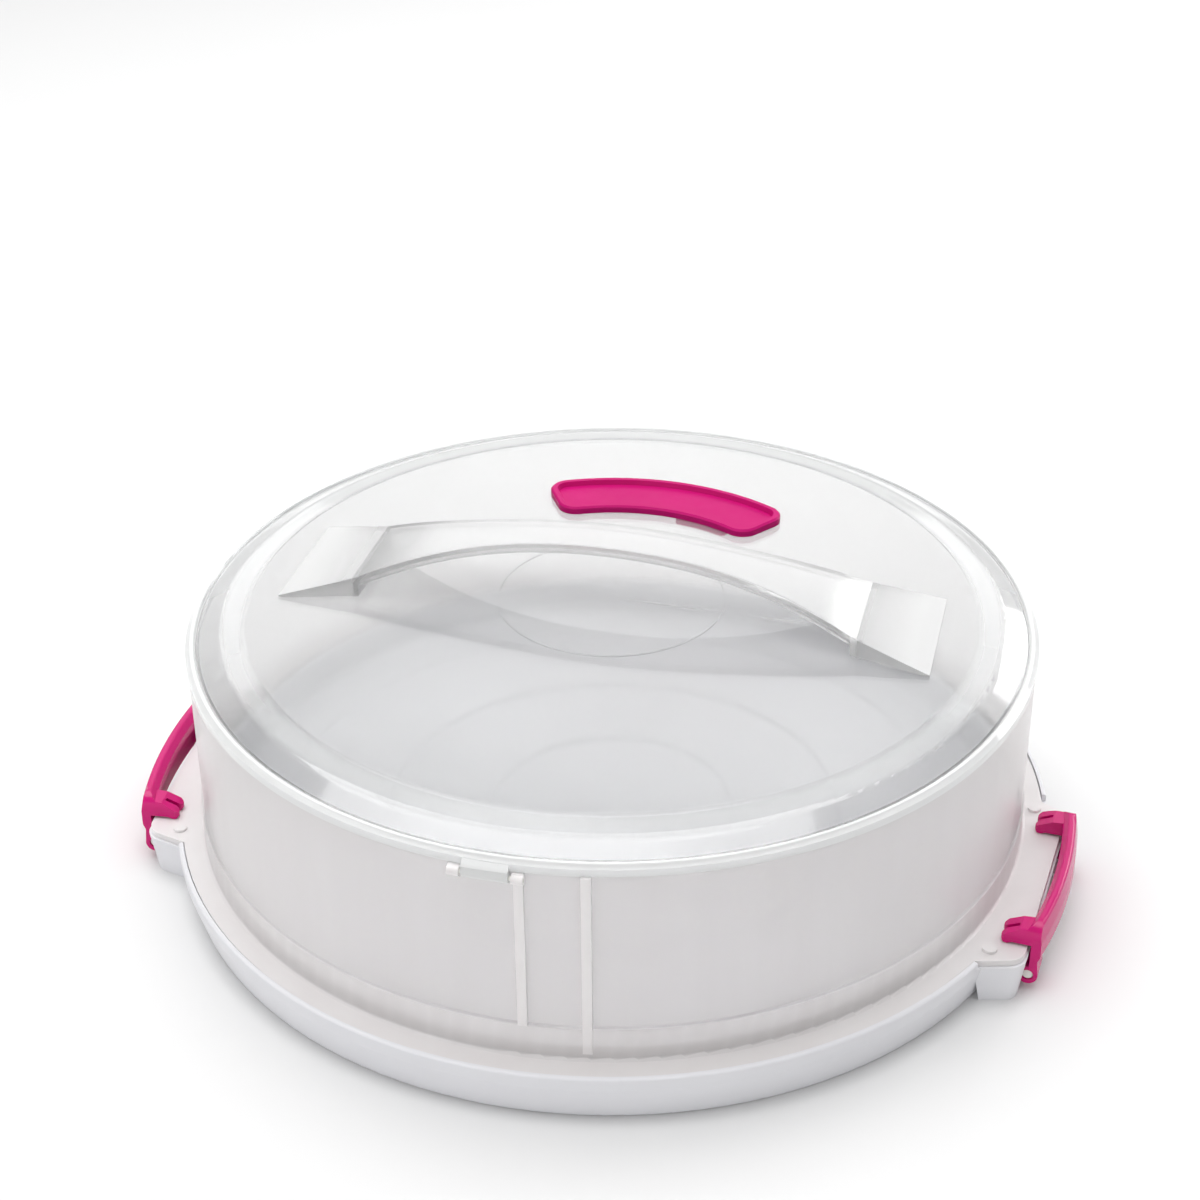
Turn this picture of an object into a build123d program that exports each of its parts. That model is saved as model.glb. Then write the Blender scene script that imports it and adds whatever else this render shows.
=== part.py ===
from build123d import *
from math import asin, atan2, cos, degrees, radians, sin, sqrt
import os

os.makedirs("parts", exist_ok=True)

# Round cake carrier: a white base tray, a frosted cover ring held down by two side latches, and a clear
# lid with an arched carry handle that hinges on the front of the ring. Millimetres. Z is up, the tray
# stands on z = 0, the origin is under its centre, and the lid hinge is on the -Y side.

# Whole carrier, to the top of its handle
carrier_h = 123.55

# Cover ring
cover_r = 150.0
cover_t = 2.0
flange_w = 8.6
flange_t = 2.4
flange_root = 1.2
foot_band_h = 14.6
foot_band_t = 0.8

# Base tray
ledge_z = 15.6
tray_t = 2.2
floor_z = 7.5
floor_t = 2.4
lip_gap = 0.4
lip_t = 1.6
lip_rise = 0.5
skirt_taper = 3.6
locating_gap = 0.6
locating_h = 4.9
plate_ridge_h = 0.9
plate_ridge_w = 1.6
plate_ridge_radii = (45.0, 85.0, 125.0)
rib_count = 12
rib_t = 1.8
rib_clear = 1.2
rib_inner_r = 30.0

# Ears of the tray and tabs of the cover
latch_angle = 5.5
latch_shift = 7.6
ear_out = 3.4
ear_half = 45.0
ear_root_half = 50.6
ear_corner = 7.0
ear_draft = 8.0
tab_margin = 0.8
boss_r = 2.4
boss_h = 1.1
boss_in = 12.4
boss_edge = 2.6

# Latches and their pins
latch_half = 37.0
latch_pin_r = 2.0
latch_pin_out = 0.2
latch_pin_z = 6.4
barrel_r = 3.5
barrel_len = 10.4
barrel_mouth = 2.6
knuckle_len = 9.2
end_gap = 0.4
pin_fit = 0.04
barrel_fit = 0.08
recess_gap = 0.5
leg_gap = 0.5
leg_t = 3.4
bar_t = 5.5
bar_sag = 3.6
latch_h = 26.4
ridge_round = 1.3
end_round = 6.0
finger_gap = 0.2
finger_w = 8.8
finger_in = 10.0
prong_w = 3.6
prong_depth = 5.6

# Lid
lid_seat = 0.15
lid_t = 1.8
lid_rim_over = 0.4
lid_rim_h = 3.9
rim_w = 3.0
shoulder_in = 11.5
crown_in = 9.5
crown_rise = 9.45
crown_drop = 1.4
shoulder_drop = 3.0
valley_rise = 2.75
plug_gap = 1.0
plug_t = 1.6
plug_h = 3.2
mark_r = 40.4
mark_w = 0.6
mark_h = 0.3

# Lid hinge
hinge_x = -2.1
hinge_out = 0.9
hinge_drop = 2.0
hinge_r = 1.7
hinge_pin_r = 0.8
hinge_leaf = 7.4
hinge_lug = 3.8
hinge_relief = 0.25

# Carry handle
handle_apex = 24.35
handle_sag = 17.1
handle_strap_t = 2.2
handle_lip_t = 3.4
handle_margin = 13.0
handle_foot_len = 28.0
handle_ramp_len = 26.0
handle_toe_t = 0.7
handle_wall = 2.4
handle_mid_half = 9.0
handle_waist_half = 12.1
handle_foot_half = 19.5
handle_toe_half = 26.0
seat_gap = 0.1

# Finger grip and the clip under it
grip_in_r = 63.4
grip_out_r = 87.4
grip_angle = 87.3
grip_half_angle = 33.2
grip_corner = 7.0
grip_top = 2.6
grip_floor = 0.8
grip_rim = 3.2
grip_post_r = 2.5
grip_post_fit = 0.1
grip_post_angle = 19.0
clip_in_r = 70.4
clip_out_r = 83.8
clip_half_angle = 29.0
clip_t = 2.4
clip_tongue_r = 65.4
clip_tongue_angle = 14.0
clip_tongue_half = 9.0

# Guide rails on the front of the cover ring
guide_w = 3.0
guide_proud = 1.2
guide_spacing = 20.4
guide_left_foot = 14.6
guide_right_foot = 4.9

# Derived levels and radii
cover_h = carrier_h - handle_apex - crown_rise - lid_seat - ledge_z
flange_r = cover_r + flange_w
flange_top = ledge_z + flange_t
cover_in_r = cover_r - cover_t
cover_top = ledge_z + cover_h
band_r = cover_r + foot_band_t
band_top = ledge_z + foot_band_h
lip_in_r = flange_r + lip_gap
lip_r = lip_in_r + lip_t
tray_h = flange_top + lip_rise
foot_r = lip_r - skirt_taper
locating_r = cover_in_r - locating_gap
locating_in_r = locating_r - tray_t
skirt_knee_z = ledge_z - tray_t
ear_s = lip_r + ear_out
ear_root_s = cover_in_r
latch_pin_s = ear_s + latch_pin_out

lid_z = cover_top + lid_seat
lid_r = cover_r + lid_rim_over
crown_z = lid_z + crown_rise
shoulder_r = cover_r - shoulder_in
crown_r = shoulder_r - crown_in
valley_r = cover_r - rim_w
crown_edge_z = crown_z - crown_drop
shoulder_z = crown_z - shoulder_drop
valley_z = lid_z + valley_rise
rim_top = lid_z + lid_rim_h
plug_r = cover_in_r - plug_gap
plug_in_r = plug_r - plug_t
crown_ball_r = (crown_r**2 + crown_drop**2) / (2 * crown_drop)
hinge_y = -(cover_r + hinge_out)
hinge_z = cover_top - hinge_drop
hinge_lug_x = hinge_leaf + 2 * end_gap + hinge_lug / 2


def upright(s=0.0, turn=0.0):
    """Upright plane across the right latch's middle, x running outward from s, turned there, and y up."""
    a = radians(-latch_angle)
    b = radians(turn - latch_angle)
    middle = (s * cos(a) + latch_shift * sin(a), s * sin(a) - latch_shift * cos(a), 0)
    return Plane(origin=middle, x_dir=(cos(b), sin(b), 0), z_dir=(sin(b), -cos(b), 0))


def level(height):
    """Level plane at this height, x running outward through the right latch's middle."""
    a = radians(-latch_angle)
    return Plane(origin=(latch_shift * sin(a), -latch_shift * cos(a), height), x_dir=(cos(a), sin(a), 0))


def ear_outline(grow):
    """Plan of an ear with its corners rounded: x runs outward, y along the ear."""
    with BuildSketch() as outline:
        with BuildLine():
            Polyline(
                (ear_root_s, -ear_root_half - grow),
                (ear_s + grow, -ear_half - grow),
                (ear_s + grow, ear_half + grow),
                (ear_root_s, ear_root_half + grow),
                close=True,
            )
        make_face()
        fillet(outline.vertices().group_by(Axis.X)[-1], ear_corner)
    return outline.sketch


def arc_band(inner_r, outer_r, middle, half, corner):
    """Plan of a curved band about the centre, with rounded corners."""
    with BuildSketch() as band:
        with BuildLine(mode=Mode.PRIVATE) as edges:
            CenterArc((0, 0), inner_r, middle - half, 2 * half)
            CenterArc((0, 0), outer_r, middle - half, 2 * half)
            for end in (middle - half, middle + half):
                Line(
                    (inner_r * cos(radians(end)), inner_r * sin(radians(end))),
                    (outer_r * cos(radians(end)), outer_r * sin(radians(end))),
                )
        add(make_face(edges.edges(), mode=Mode.PRIVATE))
        fillet(band.vertices(), corner)
    return band.sketch


# ---- Base tray ----
# One ear: a drafted block outside the skirt, with a recess for the latch and two knuckles for its pin
recess_in_s = latch_pin_s - barrel_r - recess_gap
recess_top = latch_pin_z + barrel_r + 2.6 * recess_gap
knuckle_end = latch_half - barrel_len - end_gap

with BuildPart() as ear_block:
    with BuildSketch(level(ledge_z)):
        add(ear_outline(0))
    extrude(amount=-ledge_z, taper=ear_draft)
    with BuildSketch(Plane.XZ):
        with BuildLine():
            Polyline(
                (0, -1),
                (foot_r - tray_t / 2, -1),
                (foot_r - tray_t / 2, 0),
                (lip_r - tray_t / 2, skirt_knee_z),
                (lip_r - tray_t / 2, tray_h),
                (0, tray_h),
                close=True,
            )
        make_face()
    revolve(axis=Axis.Z, mode=Mode.SUBTRACT)
    with BuildSketch(level(0)):
        with Locations((recess_in_s + 2 * barrel_r, 0)):
            Rectangle(4 * barrel_r, 2 * (latch_half + 2 * end_gap))
    extrude(amount=recess_top, mode=Mode.SUBTRACT)
    for side in (-1, 1):
        with BuildSketch(upright().offset(side * (knuckle_end - knuckle_len / 2))):
            with BuildLine():
                Polyline(
                    (recess_in_s - 1, latch_pin_z - barrel_r + 1.2),
                    (latch_pin_s, latch_pin_z - barrel_r + 0.1),
                    (latch_pin_s, latch_pin_z + barrel_r - 0.1),
                    (recess_in_s - 1, recess_top),
                    close=True,
                )
            make_face()
            with Locations((latch_pin_s, latch_pin_z)):
                Circle(barrel_r - 0.1)
                Circle(latch_pin_r + pin_fit, mode=Mode.SUBTRACT)
        extrude(amount=knuckle_len / 2, both=True)

# Skirt, ledge and lip for the cover's flange, locating ring, ridged floor, and ribs under the floor
with BuildPart() as base_tray:
    with BuildSketch(Plane.XZ) as tray_profile:
        with BuildLine():
            Polyline(
                (0, floor_z),
                (locating_in_r, floor_z),
                (locating_in_r, ledge_z + locating_h),
                (locating_r, ledge_z + locating_h),
                (locating_r, ledge_z),
                (lip_in_r, ledge_z),
                (lip_in_r, tray_h),
                (lip_r, tray_h),
                (lip_r, skirt_knee_z),
                (foot_r, 0),
                (foot_r - tray_t, 0),
                (lip_r - tray_t, skirt_knee_z),
                (locating_r + 0.2, skirt_knee_z),
                (locating_r + 0.2, floor_z - floor_t),
                (0, floor_z - floor_t),
                close=True,
            )
        make_face()
        edge = tray_profile.vertices().filter_by(lambda v: v.X > lip_r - 0.01)
        fillet(edge.sort_by(Axis.Y)[-1], lip_t * 0.55)
        edge = tray_profile.vertices().filter_by(lambda v: v.X > lip_r - 0.01)
        fillet(edge.sort_by(Axis.Y)[0], 5)
        fillet(tray_profile.vertices().filter_by(lambda v: abs(v.X - foot_r) < 0.01), tray_t * 0.45)
        inside = tray_profile.vertices().filter_by(lambda v: abs(v.X - locating_in_r) < 0.01)
        fillet(inside.sort_by(Axis.Y)[0], 3)
    revolve(axis=Axis.Z)
    for ridge_r in plate_ridge_radii:
        with BuildSketch(Plane.XY.offset(floor_z - 0.2)):
            Circle(ridge_r + plate_ridge_w / 2)
            Circle(ridge_r - plate_ridge_w / 2, mode=Mode.SUBTRACT)
        extrude(amount=plate_ridge_h + 0.2)
    with BuildSketch(Plane.XY.offset(rib_clear)):
        with PolarLocations((rib_inner_r + locating_in_r) / 2, rib_count):
            Rectangle(locating_in_r - rib_inner_r, rib_t)
        Circle(rib_inner_r + rib_t)
        Circle(rib_inner_r, mode=Mode.SUBTRACT)
    extrude(amount=floor_z - floor_t - rib_clear + 0.2)
    add(ear_block.part)
    mirror(ear_block.part, about=Plane.YZ)
    mouth_front = latch_angle + degrees(atan2(ear_root_half + latch_shift, ear_root_s))
    mouth_rear = degrees(atan2(ear_root_half - latch_shift, ear_root_s)) - latch_angle
    mouth_mid = (mouth_rear - mouth_front) / 2
    for middle in (mouth_mid, 180 - mouth_mid):
        with BuildSketch(Plane.XY.offset(ledge_z)):
            add(arc_band(cover_r, ear_s + ear_out, middle, (mouth_front + mouth_rear) / 2, lip_t))
        extrude(amount=tray_h, mode=Mode.SUBTRACT)
base_tray.part.label = "base_tray"
export_step(base_tray.part, "parts/base_tray.step")

# ---- Latch pins ----
with BuildPart() as latch_pin_right:
    with BuildSketch(upright()):
        with Locations((latch_pin_s, latch_pin_z)):
            Circle(latch_pin_r)
    extrude(amount=latch_half - end_gap, both=True)
    chamfer(latch_pin_right.edges().filter_by(GeomType.CIRCLE), 0.4)
latch_pin_right.part.label = "latch_pin_right"
export_step(latch_pin_right.part, "parts/latch_pin_right.step")

with BuildPart() as latch_pin_left:
    mirror(latch_pin_right.part, about=Plane.YZ)
latch_pin_left.part.label = "latch_pin_left"
export_step(latch_pin_left.part, "parts/latch_pin_left.step")

# ---- Latches ----
# The bar is bowed outward; its ends stand just outside the ear and its upper part leans over the tab
bar_arc_r = (latch_half**2 + bar_sag**2) / (2 * bar_sag)
bar_in_s = ear_s + leg_gap + bar_sag
bar_axis_s = bar_in_s - bar_arc_r
bar_sweep = degrees(asin((latch_half + 3) / bar_arc_r))
bar_low_z = latch_pin_z + barrel_r + 1.2
lean_z = flange_top + 1.6
leg_end_s = ear_s + leg_gap
finger_tip_s = ear_s - finger_in
prong_split_s = finger_tip_s + prong_depth
bar_axis = Axis(upright(bar_axis_s).origin, (0, 0, 1))

with BuildPart() as finger:
    with BuildSketch(upright()):
        with BuildLine():
            Polyline(
                (leg_end_s + 1, flange_top + 0.9),
                (finger_tip_s + 4.0, flange_top + 0.9),
                (finger_tip_s + 2.4, flange_top + finger_gap),
                (finger_tip_s + 0.8, flange_top + finger_gap),
                (finger_tip_s, flange_top + 1.1),
                (finger_tip_s + 0.1, flange_top + 2.6),
                (finger_tip_s + 1.4, flange_top + 3.7),
                (finger_tip_s + 6.2, flange_top + 6.0),
                (leg_end_s - 0.6, latch_h - 2.0),
                (leg_end_s + 1, latch_h - 2.0),
                close=True,
            )
        make_face()
    extrude(amount=latch_half, both=True)
    with BuildSketch(level(flange_top)):
        for side in (-1, 1):
            finger_mid = side * (latch_half - finger_w / 2)
            with Locations(((prong_split_s + leg_end_s + 1) / 2, finger_mid)):
                Rectangle(leg_end_s + 1 - prong_split_s, finger_w)
            for edge in (-1, 1):
                prong_mid = finger_mid + edge * (finger_w - prong_w) / 2
                with Locations(((finger_tip_s + prong_split_s + 2) / 2, prong_mid)):
                    SlotOverall(prong_split_s + 2 - finger_tip_s, prong_w)
    extrude(amount=latch_h, mode=Mode.INTERSECT)

with BuildPart() as latch_right:
    with BuildSketch(upright(bar_axis_s, -bar_sweep)) as bar_section:
        with BuildLine():
            Polyline(
                (bar_arc_r, bar_low_z),
                (bar_arc_r, lean_z),
                (bar_arc_r - 2.2, lean_z + 1.4),
                (bar_arc_r - 2.2, latch_h - 2.4),
                (bar_arc_r - 0.2, latch_h),
                (bar_arc_r + 2.2, latch_h),
                (bar_arc_r - 2.2 + bar_t, latch_h - 6.0),
                (bar_arc_r + leg_t, bar_low_z + 3.5),
                (bar_arc_r + leg_t - 1.4, bar_low_z),
                close=True,
            )
        make_face()
        fillet(bar_section.vertices().group_by(Axis.Y)[-1], ridge_round)
        fillet(bar_section.vertices().sort_by(Axis.X)[-1], 2 * ridge_round)
    revolve(axis=bar_axis, revolution_arc=2 * bar_sweep)
    add(finger.part)
    with BuildSketch(upright(ear_s, -90)) as front:
        with Locations((0, latch_h / 2)):
            Rectangle(2 * latch_half, latch_h)
        fillet(front.vertices().group_by(Axis.Y)[-1], end_round)
    extrude(amount=3 * bar_t, both=True, mode=Mode.INTERSECT)
    with BuildSketch(upright().offset(latch_half)) as leg:
        with BuildLine():
            Polyline(
                (leg_end_s, latch_pin_z + 1),
                (latch_pin_s + barrel_r, latch_pin_z),
                (leg_end_s + leg_t - 0.8, bar_low_z + 1),
                (leg_end_s + leg_t, bar_low_z + 6),
                (leg_end_s, bar_low_z + 6),
                close=True,
            )
        make_face()
        with Locations((latch_pin_s, latch_pin_z)):
            Circle(barrel_r)
            Circle(latch_pin_r + barrel_fit, mode=Mode.SUBTRACT)
        with Locations((latch_pin_s - barrel_r, latch_pin_z)):
            Rectangle(2 * barrel_r, barrel_mouth, mode=Mode.SUBTRACT)
    extrude(amount=-barrel_len)
    with BuildSketch(upright().offset(-latch_half)):
        add(leg.sketch_local)
    extrude(amount=barrel_len)
latch_right.part.label = "latch_right"
export_step(latch_right.part, "parts/latch_right.step")

with BuildPart() as latch_left:
    mirror(latch_right.part, about=Plane.YZ)
latch_left.part.label = "latch_left"
export_step(latch_left.part, "parts/latch_left.step")

# ---- Cover ring ----
# Guide rails: one runs under the lid's hinge to its right lug, the other up to the rim
rail_left_x = hinge_x + hinge_lug_x
with BuildPart() as guide_rails:
    with BuildSketch(Plane.XZ.offset(cover_in_r - guide_spacing)):
        for rail_x, foot in ((rail_left_x, guide_left_foot), (rail_left_x + guide_spacing, guide_right_foot)):
            with Locations((rail_x, (ledge_z + foot + cover_top) / 2)):
                Rectangle(guide_w, cover_top - ledge_z - foot)
    extrude(amount=2 * guide_spacing)
    with BuildSketch(Plane.XY):
        Circle(cover_r + guide_proud)
        Circle(cover_r - cover_t / 2, mode=Mode.SUBTRACT)
    extrude(amount=cover_top, mode=Mode.INTERSECT)

# Lugs that carry the hinge pin, run back into the wall
with BuildPart() as hinge_lugs:
    for side in (-1, 1):
        with BuildSketch(Plane.YZ.offset(hinge_x + side * hinge_lug_x)):
            with BuildLine():
                Polyline(
                    (hinge_y, hinge_z - hinge_r),
                    (hinge_y + 3 * hinge_r, hinge_z - 3.3 * hinge_r),
                    (hinge_y + 3 * hinge_r, cover_top),
                    (hinge_y + 0.8 * hinge_r, cover_top),
                    (hinge_y, hinge_z + hinge_r),
                    close=True,
                )
            make_face()
            with Locations((hinge_y, hinge_z)):
                Circle(hinge_r)
        extrude(amount=hinge_lug / 2, both=True)
    with BuildSketch(Plane.XY):
        Circle(cover_r - cover_t / 2)
    extrude(amount=cover_top + 1, mode=Mode.SUBTRACT)

# One tab: the flange run out over the ear, with two bosses that stand beside the latch's fingers
with BuildPart() as tab_block:
    with BuildSketch(level(ledge_z)):
        add(ear_outline(-tab_margin))
    extrude(amount=flange_t)
    with BuildSketch(level(flange_top)):
        with Locations((ear_s - boss_in, boss_edge - ear_half), (ear_s - boss_in, ear_half - boss_edge)):
            Circle(boss_r)
    extrude(amount=boss_h)

with BuildPart() as cover_wall:
    with BuildSketch(Plane.XZ) as cover_profile:
        with BuildLine():
            Polyline(
                (cover_in_r, ledge_z),
                (flange_r, ledge_z),
                (flange_r, flange_top),
                (band_r, flange_top),
                (band_r, band_top),
                (cover_r, band_top + foot_band_t),
                (cover_r, cover_top),
                (cover_in_r, cover_top),
                close=True,
            )
        make_face()
        root = cover_profile.vertices().filter_by(lambda v: abs(v.X - band_r) < 0.01)
        fillet(root.sort_by(Axis.Y)[0], flange_root)
    revolve(axis=Axis.Z)
    add(tab_block.part)
    mirror(tab_block.part, about=Plane.YZ)
    add(guide_rails.part)
    add(hinge_lugs.part)
    with BuildSketch(Plane.YZ.offset(hinge_x)):
        with Locations((hinge_y, hinge_z)):
            Circle(hinge_r + hinge_relief)
    extrude(amount=hinge_leaf + 2 * end_gap, both=True, mode=Mode.SUBTRACT)
    with BuildSketch(Plane.YZ.offset(hinge_x)):
        with Locations((hinge_y, hinge_z)):
            Circle(hinge_pin_r + pin_fit)
    extrude(amount=hinge_lug_x + hinge_lug, both=True, mode=Mode.SUBTRACT)
cover_wall.part.label = "cover_wall"
export_step(cover_wall.part, "parts/cover_wall.step")

# ---- Lid hinge pin ----
with BuildPart() as lid_hinge_pin:
    with BuildSketch(Plane.YZ.offset(hinge_x)):
        with Locations((hinge_y, hinge_z)):
            Circle(hinge_pin_r)
    extrude(amount=hinge_lug_x + hinge_lug / 2, both=True)
lid_hinge_pin.part.label = "lid_hinge_pin"
export_step(lid_hinge_pin.part, "parts/lid_hinge_pin.step")

# ---- Lid ----
# The ball of the crown, raised by the seat gap: what stands on the lid is cut to it
with BuildPart() as crown_form:
    with BuildSketch(Plane.XZ):
        with BuildLine():
            Polyline(
                (0, crown_z + seat_gap),
                (0, cover_top - plug_h),
                (crown_r, cover_top - plug_h),
                (crown_r, crown_edge_z + seat_gap),
            )
            RadiusArc((crown_r, crown_edge_z + seat_gap), (0, crown_z + seat_gap), -crown_ball_r)
        make_face()
    revolve(axis=Axis.Z)

post_mid_r = (grip_in_r + grip_out_r) / 2
post_spots = [
    (post_mid_r * cos(radians(grip_angle + a)), post_mid_r * sin(radians(grip_angle + a)))
    for a in (-grip_post_angle, grip_post_angle)
]

with BuildPart() as lid_panel:
    with BuildSketch(Plane.XZ) as lid_profile:
        with BuildLine():
            RadiusArc((crown_r, crown_edge_z), (0, crown_z), -crown_ball_r)
            Line((0, crown_z), (0, crown_z - lid_t))
            RadiusArc((0, crown_z - lid_t), (crown_r, crown_edge_z - lid_t), crown_ball_r - lid_t)
            Polyline(
                (crown_r, crown_edge_z - lid_t),
                (shoulder_r - 0.5, shoulder_z - lid_t),
                (plug_in_r, valley_z - 0.4),
                (plug_in_r, lid_z - plug_h),
                (plug_r, lid_z - plug_h),
                (plug_r, lid_z),
                (lid_r, lid_z),
                (lid_r, rim_top - 1.3),
                (cover_r - 1.2, rim_top),
                (cover_r - 2.2, rim_top),
                (valley_r, valley_z),
                (shoulder_r, shoulder_z),
                (crown_r, crown_edge_z),
            )
        make_face()
        fillet(lid_profile.vertices().filter_by(lambda v: abs(v.X - shoulder_r) < 0.01), 9)
        fillet(lid_profile.vertices().filter_by(lambda v: abs(v.X - shoulder_r + 0.5) < 0.01), 8)
        fillet(lid_profile.vertices().filter_by(lambda v: abs(v.X - valley_r) < 0.01), 0.8)
        fillet(lid_profile.vertices().filter_by(lambda v: v.Y > rim_top - 0.01 and v.X > valley_r), 0.45)
    revolve(axis=Axis.Z)
    with BuildSketch(Plane.XY.offset(crown_z - lid_t)):
        Circle(mark_r + mark_w / 2)
        Circle(mark_r - mark_w / 2, mode=Mode.SUBTRACT)
    extrude(amount=lid_t + mark_h - mark_r**2 / (2 * crown_ball_r))
    with BuildSketch(Plane.YZ.offset(hinge_x)):
        with BuildLine():
            Polyline(
                (hinge_y - hinge_r, hinge_z),
                (hinge_y - hinge_r, lid_z + 0.8),
                (hinge_y + 0.6, lid_z + 2.4),
                (hinge_y + 3.0, lid_z + 2.4),
                (hinge_y + 3.0, lid_z),
                (hinge_y + 0.6, lid_z),
                (hinge_y + 0.6, hinge_z),
                close=True,
            )
        make_face()
        with Locations((hinge_y, hinge_z)):
            Circle(hinge_r)
            Circle(hinge_pin_r + barrel_fit, mode=Mode.SUBTRACT)
    extrude(amount=hinge_leaf, both=True)
    with BuildSketch(Plane.XY.offset(lid_z)):
        with Locations(*post_spots):
            Circle(grip_post_r + grip_post_fit)
    extrude(amount=crown_rise + 2, mode=Mode.SUBTRACT)
lid_panel.part.label = "lid_panel"
export_step(lid_panel.part, "parts/lid_panel.step")

# ---- Carry handle ----
handle_end = crown_r - handle_margin
handle_foot_in = handle_end - handle_foot_len
handle_ramp_in = handle_end - handle_ramp_len
handle_arc_r = (handle_foot_in**2 + handle_sag**2) / (2 * handle_sag)


def handle_outline(inset):
    """Plan of the handle, narrow at the middle and flared at its feet."""
    with BuildSketch() as outline:
        with BuildLine() as half:
            Spline(
                (-handle_end, handle_toe_half - inset),
                (-handle_foot_in, handle_foot_half - inset),
                (-0.64 * handle_foot_in, handle_waist_half - inset),
                (0, handle_mid_half - inset),
                (0.64 * handle_foot_in, handle_waist_half - inset),
                (handle_foot_in, handle_foot_half - inset),
                (handle_end, handle_toe_half - inset),
            )
            Line((handle_end, handle_toe_half - inset), (handle_end, 0))
            Line((-handle_end, handle_toe_half - inset), (-handle_end, 0))
            mirror(half.line, about=Plane.XZ)
        make_face()
    return outline.sketch


handle_top = crown_z + handle_apex
arc_low_z = handle_top - handle_arc_r


def arch_z(u, depth):
    """Height of a face of the arch at this distance from the middle, this deep under its top."""
    return arc_low_z + sqrt((handle_arc_r - depth)**2 - u**2)


toe_z = crown_z - handle_end**2 / (2 * crown_ball_r) + seat_gap + handle_toe_t
ramp_drop = (arch_z(handle_ramp_in, 0) - toe_z) / (handle_end - handle_ramp_in)

# The space under each foot, closed by the lid
with BuildPart() as foot_hollow:
    with BuildSketch(Plane.XZ):
        with BuildLine():
            hollow_in = handle_foot_in + handle_wall
            hollow_top = arch_z(handle_ramp_in, 0) - handle_strap_t - ramp_drop * (hollow_in - handle_ramp_in)
            hollow_out = hollow_in + (hollow_top - crown_edge_z) / ramp_drop
            Polyline(
                (hollow_in, crown_edge_z),
                (hollow_in, hollow_top),
                (hollow_out, crown_edge_z),
                close=True,
            )
        make_face()
    extrude(amount=handle_toe_half, both=True)
    with BuildSketch(Plane.XY.offset(lid_z)):
        add(handle_outline(handle_wall))
    extrude(amount=2 * handle_apex, mode=Mode.INTERSECT)

# The shallow channel under the strap, between its edge lips
with BuildPart() as strap_channel:
    with BuildSketch(Plane.XZ):
        with BuildLine():
            RadiusArc(
                (-handle_foot_in, arch_z(handle_foot_in, handle_strap_t)),
                (handle_foot_in, arch_z(handle_foot_in, handle_strap_t)),
                handle_arc_r - handle_strap_t,
            )
            Line(
                (handle_foot_in, arch_z(handle_foot_in, handle_strap_t)),
                (handle_foot_in, crown_z),
            )
            Line((handle_foot_in, crown_z), (-handle_foot_in, crown_z))
            Line(
                (-handle_foot_in, crown_z),
                (-handle_foot_in, arch_z(handle_foot_in, handle_strap_t)),
            )
        make_face()
    extrude(amount=handle_toe_half, both=True)
    with BuildSketch(Plane.XY.offset(lid_z)):
        add(handle_outline(handle_wall))
    extrude(amount=2 * handle_apex, mode=Mode.INTERSECT)

with BuildPart() as carry_handle:
    with BuildSketch(Plane.XZ):
        with BuildLine():
            RadiusArc(
                (-handle_ramp_in, arch_z(handle_ramp_in, 0)),
                (handle_ramp_in, arch_z(handle_ramp_in, 0)),
                handle_arc_r,
            )
            Polyline(
                (handle_ramp_in, arch_z(handle_ramp_in, 0)),
                (handle_end, toe_z),
                (handle_end, lid_z),
                (handle_foot_in, lid_z),
                (handle_foot_in, arch_z(handle_foot_in, handle_lip_t)),
            )
            RadiusArc(
                (handle_foot_in, arch_z(handle_foot_in, handle_lip_t)),
                (-handle_foot_in, arch_z(handle_foot_in, handle_lip_t)),
                -(handle_arc_r - handle_lip_t),
            )
            Polyline(
                (-handle_foot_in, arch_z(handle_foot_in, handle_lip_t)),
                (-handle_foot_in, lid_z),
                (-handle_end, lid_z),
                (-handle_end, toe_z),
                (-handle_ramp_in, arch_z(handle_ramp_in, 0)),
            )
        make_face()
    extrude(amount=handle_toe_half + 1, both=True)
    with BuildSketch(Plane.XY.offset(lid_z - 1)):
        add(handle_outline(0))
    extrude(amount=2 * handle_apex, mode=Mode.INTERSECT)
    add(foot_hollow.part, mode=Mode.SUBTRACT)
    mirror(foot_hollow.part, about=Plane.YZ, mode=Mode.SUBTRACT)
    add(strap_channel.part, mode=Mode.SUBTRACT)
    add(crown_form.part, mode=Mode.SUBTRACT)
carry_handle.part.label = "carry_handle"
export_step(carry_handle.part, "parts/carry_handle.step")

# ---- Finger grip and the clip under the lid ----
clip_z = crown_z - grip_out_r**2 / (2 * crown_ball_r) - lid_t - seat_gap - clip_t

with BuildPart() as lid_grip:
    with BuildSketch(Plane.XY.offset(crown_edge_z)):
        add(arc_band(grip_in_r, grip_out_r, grip_angle, grip_half_angle, grip_corner))
    extrude(amount=crown_drop + grip_top)
    chamfer(lid_grip.edges().group_by(Axis.Z)[-1], 0.7)
    tray_half = grip_half_angle - degrees(grip_rim / post_mid_r)
    tray_corner = grip_corner - grip_rim
    with BuildSketch(Plane.XY.offset(crown_z + grip_floor)):
        add(arc_band(grip_in_r + grip_rim, grip_out_r - grip_rim, grip_angle, tray_half, tray_corner))
    extrude(amount=grip_top, taper=-25, mode=Mode.SUBTRACT)
    add(crown_form.part, mode=Mode.SUBTRACT)
    with BuildSketch(Plane.XY.offset(clip_z)):
        with Locations(*post_spots):
            Circle(grip_post_r)
    extrude(amount=crown_z + grip_floor - clip_z)
lid_grip.part.label = "lid_grip"
export_step(lid_grip.part, "parts/lid_grip.step")

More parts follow.
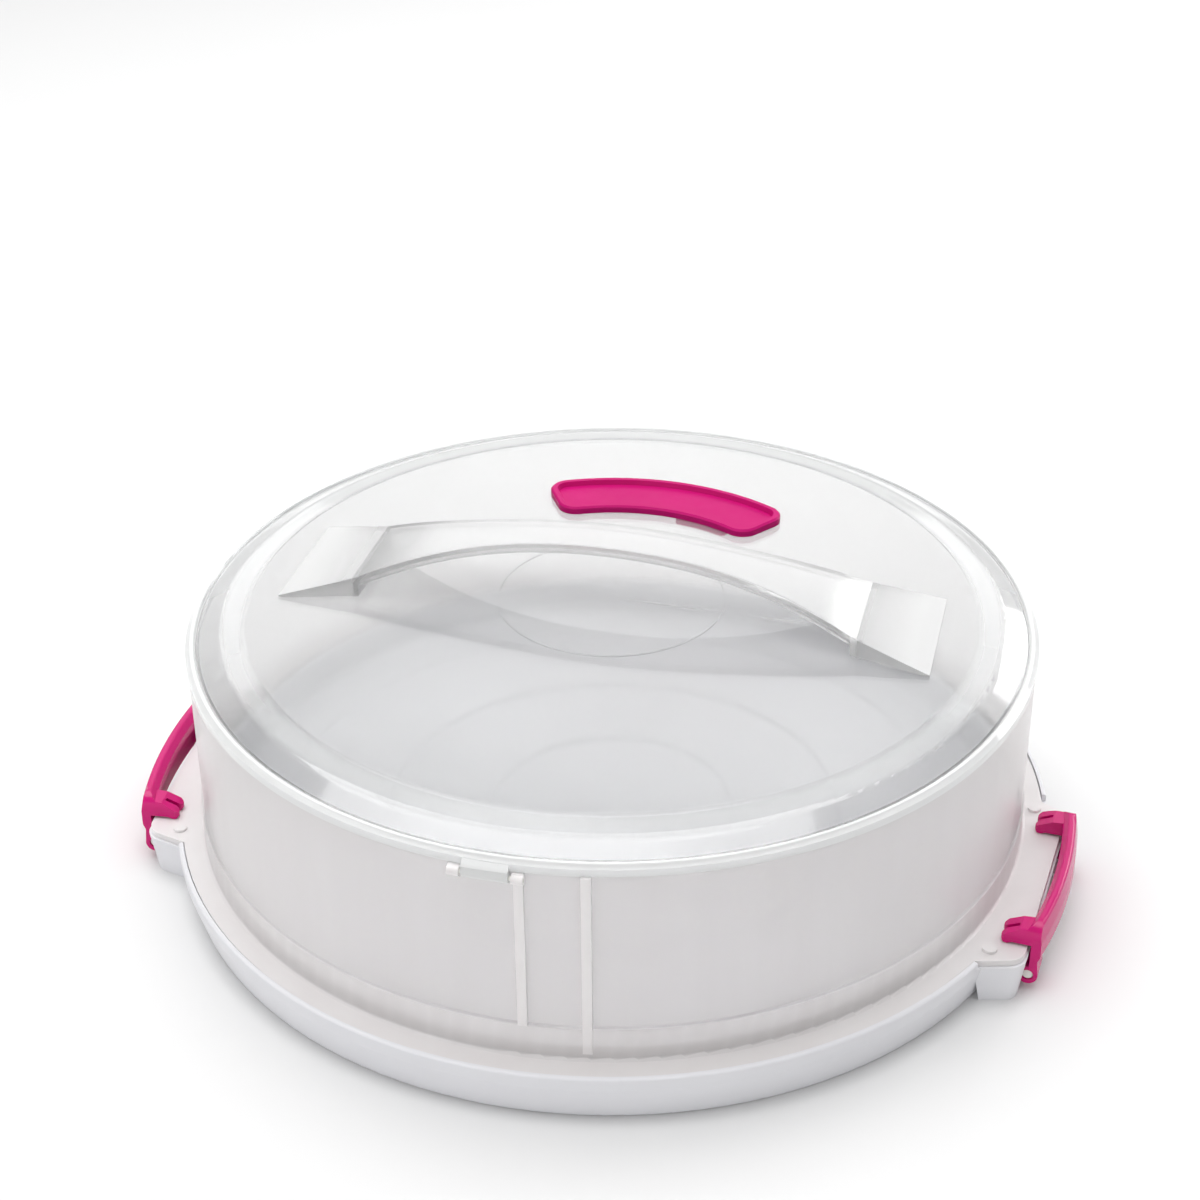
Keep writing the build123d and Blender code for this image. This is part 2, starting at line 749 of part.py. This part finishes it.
with BuildPart() as grip_clip:
    with BuildSketch(Plane.XY.offset(clip_z)):
        add(arc_band(clip_in_r, clip_out_r, grip_angle, clip_half_angle, tray_corner))
        add(arc_band(clip_tongue_r, clip_in_r + 6, grip_angle - clip_tongue_angle, clip_tongue_half, 1.5))
        with Locations(*post_spots):
            Circle(grip_post_r + grip_post_fit / 2, mode=Mode.SUBTRACT)
    extrude(amount=clip_t)
grip_clip.part.label = "grip_clip"
export_step(grip_clip.part, "parts/grip_clip.step")
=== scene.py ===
import bpy
from math import radians
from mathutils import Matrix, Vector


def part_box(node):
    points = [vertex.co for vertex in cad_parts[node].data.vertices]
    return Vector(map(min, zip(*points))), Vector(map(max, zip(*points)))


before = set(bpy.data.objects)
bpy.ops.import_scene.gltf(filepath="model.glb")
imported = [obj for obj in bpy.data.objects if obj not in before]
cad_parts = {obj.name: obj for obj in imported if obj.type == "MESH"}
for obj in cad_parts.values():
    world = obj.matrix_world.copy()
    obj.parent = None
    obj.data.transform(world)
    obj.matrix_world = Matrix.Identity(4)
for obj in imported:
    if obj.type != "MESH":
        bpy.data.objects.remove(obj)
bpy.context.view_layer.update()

# ---- Camera ----
# A long lens at the front right, about 0.8 m away and looking down at some 30 degrees, so that the whole
# carrier stands in the frame with a margin all round.
camera_place = (0.16486, -0.66123, 0.49789)
camera_turn = (59.5749, 0.4447, 14.0826)
bpy.ops.object.select_all(action="DESELECT")
bpy.ops.object.camera_add(location=camera_place, rotation=[radians(angle) for angle in camera_turn])
camera = bpy.context.object
camera.name = "camera"
camera.data.lens = 66.66
camera.data.sensor_width = 36
camera.data.clip_start = 0.01
bpy.context.scene.camera = camera


# ---- Table top ----
# A wide sheet of matt white board, lit so well that it comes out white all over, and only the soft shade
# beside the tray's foot is left on it.
def linear(hex_colour):
    """An sRGB hex colour as the linear values that shader sockets take."""
    channels = [int(hex_colour[i:i + 2], 16) / 255 for i in (0, 2, 4)]
    return [c / 12.92 if c <= 0.04045 else ((c + 0.055) / 1.055)**2.4 for c in channels] + [1.0]


def add_node(tree, kind, settings=None, **inputs):
    """A node with its settings, and each input set to a value or linked from a socket.

    An input goes by its name, with _ for a space, or by its number after a _ where names repeat: _0 and _1
    on a Math node, and _6 and _7 for the two colours of a Mix, whose mixed colour is output 2.
    """
    node = tree.nodes.new(kind)
    for name, value in (settings or {}).items():
        setattr(node, name, value)
    for name, value in inputs.items():
        key = int(name[1:]) if name[0] == "_" else name.replace("_", " ")
        if isinstance(value, bpy.types.NodeSocket):
            tree.links.new(value, node.inputs[key])
        else:
            node.inputs[key].default_value = value
    return node


def new_material(name):
    """An empty node material and its tree."""
    material = bpy.data.materials.new(name)
    material.use_nodes = True
    material.node_tree.nodes.clear()
    return material, material.node_tree


bpy.ops.mesh.primitive_plane_add(size=30, location=(0, 0, 0))
table_top = bpy.context.object
table_top.name = "table_top"
board, tree = new_material("matt_white_board")
coords = add_node(tree, "ShaderNodeTexCoord")
# the board's tooth, 1.1 mm across
tooth = add_node(tree, "ShaderNodeTexNoise", Vector=coords.outputs["Object"], Scale=900.0, Detail=2.0)
relief = add_node(tree, "ShaderNodeBump", Height=tooth.outputs["Fac"], Strength=0.02, Distance=0.0002)
skin = add_node(
    tree, "ShaderNodeBsdfPrincipled",
    Base_Color=linear("E3E3E3"), Roughness=0.9, Normal=relief.outputs["Normal"],
)
add_node(tree, "ShaderNodeOutputMaterial", Surface=skin.outputs["BSDF"])
table_top.data.materials.append(board)

# ---- Light ----
# A tent of white cloth, brightest at its top and dimmer towards the table. In it are one broad soft light
# above, a low one behind whose reflection lies on the lid, and low ones at the front left and right rear.
world = bpy.data.worlds.new("white_tent")
bpy.context.scene.world = world
world.use_nodes = True
sky = world.node_tree
aim = add_node(sky, "ShaderNodeTexCoord")
aim_parts = add_node(sky, "ShaderNodeSeparateXYZ", Vector=aim.outputs["Generated"])
glow = add_node(
    sky, "ShaderNodeMapRange",
    Value=aim_parts.outputs["Z"], From_Min=0.0, From_Max=1.0, To_Min=0.27, To_Max=0.6,
)
cloth = sky.nodes["Background"]
cloth.inputs["Color"].default_value = linear("FFFFFF")
sky.links.new(glow.outputs["Result"], cloth.inputs["Strength"])
for name, place, turn, wide, deep, watts in (
    ("overhead_light", (-0.2, 0.1, 1.5), (-4, -8, 0), 1.6, 1.2, 22.0),
    ("back_light", (-0.1, 1.5, 0.9), (-62, 0, 4), 2.6, 0.8, 6.5),
    ("front_light", (-0.4, -1.65, 0.5), (74, 0, -14), 2.4, 1.0, 7.0),
    ("right_light", (0.95, 1.25, 0.7), (67, 0, 143), 1.0, 0.5, 7.0),
):
    bpy.ops.object.light_add(type="AREA", location=place, rotation=[radians(angle) for angle in turn])
    lamp = bpy.context.object
    lamp.name = name
    lamp.data.shape = "RECTANGLE"
    lamp.data.size = wide
    lamp.data.size_y = deep
    lamp.data.energy = watts
bpy.context.scene.view_settings.view_transform = "Standard"


# ---- Base tray ----
# One injection moulding in white polypropylene, which the cover stands on. Its satin skin is finely eroded
# in the mould, the resin is a little cloudy, and the plate inside is rubbed smoother where cakes have stood.
def from_axis(tree, coords):
    """A socket with a point's distance from the carrier's upright axis."""
    flat = add_node(
        tree, "ShaderNodeVectorMath", {"operation": "MULTIPLY"},
        _0=coords.outputs["Object"], _1=(1.0, 1.0, 0.0),
    )
    reach = add_node(tree, "ShaderNodeVectorMath", {"operation": "LENGTH"}, _0=flat.outputs["Vector"])
    return reach.outputs["Value"]


def dress(material, *node_names):
    """Gives CAD nodes their real material."""
    for node_name in node_names:
        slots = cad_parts[node_name].data.materials
        slots.clear()
        slots.append(material)


white_pp, tree = new_material("eroded_white_polypropylene")
coords = add_node(tree, "ShaderNodeTexCoord")
# flow clouds about 60 mm across
cloud = add_node(tree, "ShaderNodeTexNoise", Vector=coords.outputs["Object"], Scale=16.0, Detail=3.0)
tint = add_node(
    tree, "ShaderNodeMix", {"data_type": "RGBA"},
    Factor=cloud.outputs["Fac"], _6=linear("E0E0E4"), _7=linear("E8E8EB"),
)
# the plate's rubbed middle
rubbed_r = 0.12
rubbed_fade = 0.02
rubbed = add_node(
    tree, "ShaderNodeMapRange", {"interpolation_type": "SMOOTHSTEP"}, Value=from_axis(tree, coords),
    From_Min=rubbed_r - rubbed_fade, From_Max=rubbed_r + rubbed_fade, To_Min=1.0, To_Max=0.0,
)
# hair scratches 0.3 mm wide, drawn that coarse so that they show, all one way across the plate
strokes = add_node(
    tree, "ShaderNodeMapping", Vector=coords.outputs["Object"],
    Rotation=(0.0, 0.0, radians(24)), Scale=(1.0, 0.04, 1.0),
)
hairs = add_node(tree, "ShaderNodeTexNoise", Vector=strokes.outputs["Vector"], Scale=1500.0, Detail=1.0)
worn = add_node(
    tree, "ShaderNodeMath", {"operation": "MULTIPLY"},
    _0=hairs.outputs["Fac"], _1=rubbed.outputs["Result"],
)
roughness = add_node(
    tree, "ShaderNodeMapRange",
    Value=worn.outputs["Value"], From_Min=0.0, From_Max=0.7, To_Min=0.42, To_Max=0.3,
)
# eroded skin, 0.4 mm grit
grit = add_node(tree, "ShaderNodeTexNoise", Vector=coords.outputs["Object"], Scale=2500.0, Detail=2.0)
relief = add_node(tree, "ShaderNodeBump", Height=grit.outputs["Fac"], Strength=0.07, Distance=0.0001)
skin = add_node(
    tree, "ShaderNodeBsdfPrincipled",
    Base_Color=tint.outputs[2], Roughness=roughness.outputs["Result"], IOR=1.49,
    Subsurface_Weight=0.3, Subsurface_Radius=(0.005, 0.005, 0.005), Normal=relief.outputs["Normal"],
)
add_node(tree, "ShaderNodeOutputMaterial", Surface=skin.outputs["BSDF"])
dress(white_pp, "base_tray")

# ---- Latch pins and lid pin ----
# Turned rods of natural acetal, pressed into the tray's ears and the ring's lugs. Acetal is harder and
# glossier than the mouldings round it and a shade creamier, with faint rings from the turning.
acetal, tree = new_material("turned_natural_acetal")
coords = add_node(tree, "ShaderNodeTexCoord")
# turning rings 1 mm apart along the latch pins, drawn that coarse so that they show
rings = add_node(
    tree, "ShaderNodeTexWave", {"wave_type": "BANDS", "bands_direction": "Y"},
    Vector=coords.outputs["Object"], Scale=320.0, Distortion=0.5, Detail=1.0,
)
relief = add_node(tree, "ShaderNodeBump", Height=rings.outputs["Fac"], Strength=0.05, Distance=0.00005)
# clouds 3 mm across
cloud = add_node(tree, "ShaderNodeTexNoise", Vector=coords.outputs["Object"], Scale=300.0, Detail=2.0)
tint = add_node(
    tree, "ShaderNodeMix", {"data_type": "RGBA"},
    Factor=cloud.outputs["Fac"], _6=linear("EBEAE4"), _7=linear("F2F1EC"),
)
skin = add_node(
    tree, "ShaderNodeBsdfPrincipled",
    Base_Color=tint.outputs[2], Roughness=0.22, IOR=1.48, Normal=relief.outputs["Normal"],
)
add_node(tree, "ShaderNodeOutputMaterial", Surface=skin.outputs["BSDF"])
dress(acetal, "latch_pin_right", "latch_pin_left", "lid_hinge_pin")

# ---- Cover ring ----
# One moulding of natural polypropylene with its tabs, flange and guide rails. The resin is milky, so the
# inside shows through it dimly, most where it is looked at square on. Thick places, such as the flange, the
# tabs and the rails, look whiter and hide more.
frosted_pp, tree = new_material("frosted_natural_polypropylene")
coords = add_node(tree, "ShaderNodeTexCoord")
slant = add_node(tree, "ShaderNodeLayerWeight", Blend=0.35)
veil = add_node(
    tree, "ShaderNodeMapRange",
    Value=slant.outputs["Facing"], From_Min=0.0, From_Max=1.0, To_Min=0.4, To_Max=0.7,
)
# the lid's rim reaches just past the wall, and all of the ring that stands out further is thick
rim_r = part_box("lid_panel")[1].x
thick = add_node(
    tree, "ShaderNodeMapRange",
    Value=from_axis(tree, coords), From_Min=rim_r, From_Max=rim_r + 0.0008, To_Min=0.0, To_Max=0.35,
)
hiding = add_node(
    tree, "ShaderNodeMath", {"operation": "ADD", "use_clamp": True},
    _0=veil.outputs["Result"], _1=thick.outputs["Result"],
)
# the resin ran up the wall from the foot and left tall faint streaks in it, about 12 mm wide
tall = add_node(tree, "ShaderNodeMapping", Vector=coords.outputs["Object"], Scale=(1.0, 1.0, 0.12))
streaks = add_node(tree, "ShaderNodeTexNoise", Vector=tall.outputs["Vector"], Scale=80.0, Detail=3.0)
tint = add_node(
    tree, "ShaderNodeMix", {"data_type": "RGBA"},
    Factor=streaks.outputs["Fac"], _6=linear("F1EDED"), _7=linear("F8F5F5"),
)
# fine frost, 0.5 mm grit
grit = add_node(tree, "ShaderNodeTexNoise", Vector=coords.outputs["Object"], Scale=2000.0, Detail=2.0)
relief = add_node(tree, "ShaderNodeBump", Height=grit.outputs["Fac"], Strength=0.08, Distance=0.0001)
skin = add_node(
    tree, "ShaderNodeBsdfPrincipled",
    Base_Color=tint.outputs[2], Roughness=0.34, IOR=1.49, Alpha=hiding.outputs["Value"],
    Subsurface_Weight=0.8, Subsurface_Radius=(0.01, 0.01, 0.01), Normal=relief.outputs["Normal"],
)
add_node(tree, "ShaderNodeOutputMaterial", Surface=skin.outputs["BSDF"])
dress(frosted_pp, "cover_wall")

# ---- Lid panel ----
# A thin moulding of clear styrene with a polished face. Looked at straight it is nearly invisible, and at a
# slant it is painted whiter in place of reflections. Its rim bead and the fold at its shoulder are painted
# whiter as highlights, and so large and thin a panel is never quite flat.
clear_lid, tree = new_material("polished_clear_styrene")
coords = add_node(tree, "ShaderNodeTexCoord")
reach = from_axis(tree, coords)
# how clear it is, a painted reflection: least clear, so whiter, where it is seen at a slant, as on the far
# side of the valley inside the rim
slant = add_node(tree, "ShaderNodeLayerWeight", Blend=0.5)
painted_slant_reflection = add_node(
    tree, "ShaderNodeMapRange",
    Value=slant.outputs["Facing"], From_Min=0.46, From_Max=0.85, To_Min=0.9, To_Max=0.45,
)
# painted highlight: less than half as clear, so whiter, along the rim bead, which is 3 mm wide
painted_bead_highlight = add_node(
    tree, "ShaderNodeMapRange",
    Value=reach, From_Min=rim_r - 0.0036, From_Max=rim_r - 0.0026, To_Min=1.0, To_Max=0.45,
)
# and a painted highlight on the slope between crown and shoulder: a little less clear, out to 6 mm each side
# of its middle
slope_r = rim_r - 0.0164
off_slope = add_node(tree, "ShaderNodeMath", {"operation": "SUBTRACT"}, _0=reach, _1=slope_r)
near_slope = add_node(tree, "ShaderNodeMath", {"operation": "ABSOLUTE"}, _0=off_slope.outputs["Value"])
painted_slope_highlight = add_node(
    tree, "ShaderNodeMapRange", {"interpolation_type": "SMOOTHSTEP"},
    Value=near_slope.outputs["Value"], From_Min=0.002, From_Max=0.006, To_Min=0.82, To_Max=1.0,
)
painted_bead_and_slope_highlights = add_node(
    tree, "ShaderNodeMath", {"operation": "MULTIPLY"},
    _0=painted_bead_highlight.outputs["Result"], _1=painted_slope_highlight.outputs["Result"],
)
clear = add_node(
    tree, "ShaderNodeMath", {"operation": "MULTIPLY"},
    _0=painted_bead_and_slope_highlights.outputs["Value"], _1=painted_slant_reflection.outputs["Result"],
)
# swells about 70 mm across, and a polish that varies over some 17 mm
swell = add_node(tree, "ShaderNodeTexNoise", Vector=coords.outputs["Object"], Scale=14.0, Detail=1.0)
relief = add_node(tree, "ShaderNodeBump", Height=swell.outputs["Fac"], Strength=0.12, Distance=0.001)
haze = add_node(tree, "ShaderNodeTexNoise", Vector=coords.outputs["Object"], Scale=60.0, Detail=4.0)
roughness = add_node(
    tree, "ShaderNodeMapRange",
    Value=haze.outputs["Fac"], From_Min=0.3, From_Max=0.7, To_Min=0.05, To_Max=0.09,
)
skin = add_node(
    tree, "ShaderNodeBsdfPrincipled",
    Base_Color=linear("FBFCFC"), Roughness=roughness.outputs["Result"], IOR=1.59,
    Transmission_Weight=clear.outputs["Value"], Normal=relief.outputs["Normal"],
)
add_node(tree, "ShaderNodeOutputMaterial", Surface=skin.outputs["BSDF"])
dress(clear_lid, "lid_panel")

# ---- Carry handle ----
# The same styrene, a little thicker and moulded with a finely matted face for grip, so it is hazier than the
# lid. Its feet are welded to the crown, and they are painted whiter towards the toes as a highlight.
clear_handle, tree = new_material("matted_clear_styrene")
coords = add_node(tree, "ShaderNodeTexCoord")
place = add_node(tree, "ShaderNodeSeparateXYZ", Vector=coords.outputs["Object"])
along = add_node(tree, "ShaderNodeMath", {"operation": "ABSOLUTE"}, _0=place.outputs["X"])
# painted highlight: it gets whiter along each foot, from 30 mm to 2 mm short of the toe's end
toe_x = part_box("carry_handle")[1].x
clear = add_node(
    tree, "ShaderNodeMapRange", {"interpolation_type": "SMOOTHSTEP"}, Value=along.outputs["Value"],
    From_Min=toe_x - 0.030, From_Max=toe_x - 0.002, To_Min=0.74, To_Max=0.5,
)
# matted skin, 0.4 mm grit
grit = add_node(tree, "ShaderNodeTexNoise", Vector=coords.outputs["Object"], Scale=2500.0, Detail=2.0)
relief = add_node(tree, "ShaderNodeBump", Height=grit.outputs["Fac"], Strength=0.05, Distance=0.0001)
skin = add_node(
    tree, "ShaderNodeBsdfPrincipled",
    Base_Color=linear("F4F4F4"), Roughness=0.14, IOR=1.59,
    Transmission_Weight=clear.outputs["Result"], Normal=relief.outputs["Normal"],
)
add_node(tree, "ShaderNodeOutputMaterial", Surface=skin.outputs["BSDF"])
dress(clear_handle, "carry_handle")

# ---- Finger grip and its clip ----
# Polypropylene moulded in magenta, with an eroded skin that reflects little, so fingers hold on to it. The
# grip is pushed through two holes in the lid into its clip. Light goes a short way into the resin.
grip_pp, tree = new_material("eroded_magenta_polypropylene")
coords = add_node(tree, "ShaderNodeTexCoord")
# flow clouds about 25 mm across, where the melt has met
cloud = add_node(tree, "ShaderNodeTexNoise", Vector=coords.outputs["Object"], Scale=40.0, Detail=3.0)
tint = add_node(
    tree, "ShaderNodeMix", {"data_type": "RGBA"},
    Factor=cloud.outputs["Fac"], _6=linear("B20262"), _7=linear("C0066E"),
)
# 0.45 mm grit, and a sheen that varies over a few millimetres
grit = add_node(tree, "ShaderNodeTexNoise", Vector=coords.outputs["Object"], Scale=2200.0, Detail=2.0)
relief = add_node(tree, "ShaderNodeBump", Height=grit.outputs["Fac"], Strength=0.06, Distance=0.0001)
patch = add_node(tree, "ShaderNodeTexNoise", Vector=coords.outputs["Object"], Scale=180.0, Detail=3.0)
roughness = add_node(
    tree, "ShaderNodeMapRange",
    Value=patch.outputs["Fac"], From_Min=0.3, From_Max=0.7, To_Min=0.38, To_Max=0.46,
)
skin = add_node(
    tree, "ShaderNodeBsdfPrincipled",
    Base_Color=tint.outputs[2], Roughness=roughness.outputs["Result"], IOR=1.49, Specular_IOR_Level=0.15,
    Subsurface_Weight=0.1, Subsurface_Radius=(0.003, 0.001, 0.002), Normal=relief.outputs["Normal"],
)
add_node(tree, "ShaderNodeOutputMaterial", Surface=skin.outputs["BSDF"])
dress(grip_pp, "lid_grip", "grip_clip")

# ---- Side latches ----
# The same magenta polypropylene from a polished mould, so the ridge of each bar shines. A latch snaps on to
# its pin by two split barrels. Fingers rub the bar smoother in places, and flow lines run along it.
latch_pp, tree = new_material("polished_magenta_polypropylene")
coords = add_node(tree, "ShaderNodeTexCoord")
# flow lines 30 mm long and 4 mm wide, along the bar
drawn = add_node(tree, "ShaderNodeMapping", Vector=coords.outputs["Object"], Scale=(1.0, 0.14, 1.0))
flow = add_node(tree, "ShaderNodeTexNoise", Vector=drawn.outputs["Vector"], Scale=240.0, Detail=2.0)
tint = add_node(
    tree, "ShaderNodeMix", {"data_type": "RGBA"},
    Factor=flow.outputs["Fac"], _6=linear("C20468"), _7=linear("D00878"),
)
# rubbed patches 9 mm across, which are also a trace lower
worn = add_node(tree, "ShaderNodeTexNoise", Vector=coords.outputs["Object"], Scale=110.0, Detail=3.0)
roughness = add_node(
    tree, "ShaderNodeMapRange",
    Value=worn.outputs["Fac"], From_Min=0.3, From_Max=0.7, To_Min=0.16, To_Max=0.24,
)
relief = add_node(tree, "ShaderNodeBump", Height=worn.outputs["Fac"], Strength=0.04, Distance=0.0003)
skin = add_node(
    tree, "ShaderNodeBsdfPrincipled",
    Base_Color=tint.outputs[2], Roughness=roughness.outputs["Result"], IOR=1.49, Specular_IOR_Level=0.34,
    Subsurface_Weight=0.1, Subsurface_Radius=(0.003, 0.001, 0.002), Normal=relief.outputs["Normal"],
)
add_node(tree, "ShaderNodeOutputMaterial", Surface=skin.outputs["BSDF"])
dress(latch_pp, "latch_right", "latch_left")

# ---- Close ----
bpy.context.view_layer.update()
